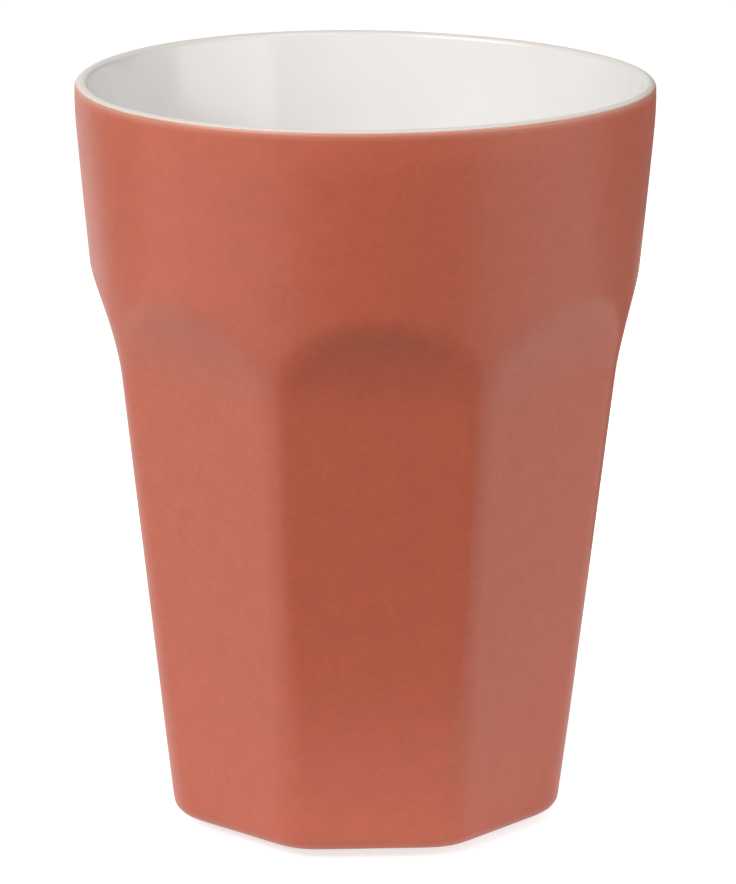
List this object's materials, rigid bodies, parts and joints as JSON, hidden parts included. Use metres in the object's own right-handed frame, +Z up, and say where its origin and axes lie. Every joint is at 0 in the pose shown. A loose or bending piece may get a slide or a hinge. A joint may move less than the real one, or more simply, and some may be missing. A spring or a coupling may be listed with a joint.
{
  "type": "espresso cup",
  "caption": "Handleless espresso cup, round at the rim and faceted below, matt terracotta glaze outside and glossy white inside.",
  "frame": {"origin": "on the standing surface, under the cup's axis", "axes": "+Z up along the cup's axis; the middle of a flat faces each of +X, +Y, -X and -Y"},
  "size_m": [0.06, 0.06, 0.078],
  "materials": {
    "fired_clay": "bare fired clay, matt and slightly grainy",
    "matt_terracotta": "matt terracotta glaze with a satin sheen at grazing angles",
    "gloss_white": "smooth glossy warm white glaze"
  },
  "bodies": {
    "root": {"clay_body": "fired_clay", "outer_glaze": "matt_terracotta", "inner_glaze": "gloss_white", "base_glaze": "matt_terracotta"}
  },
  "joints": []
}
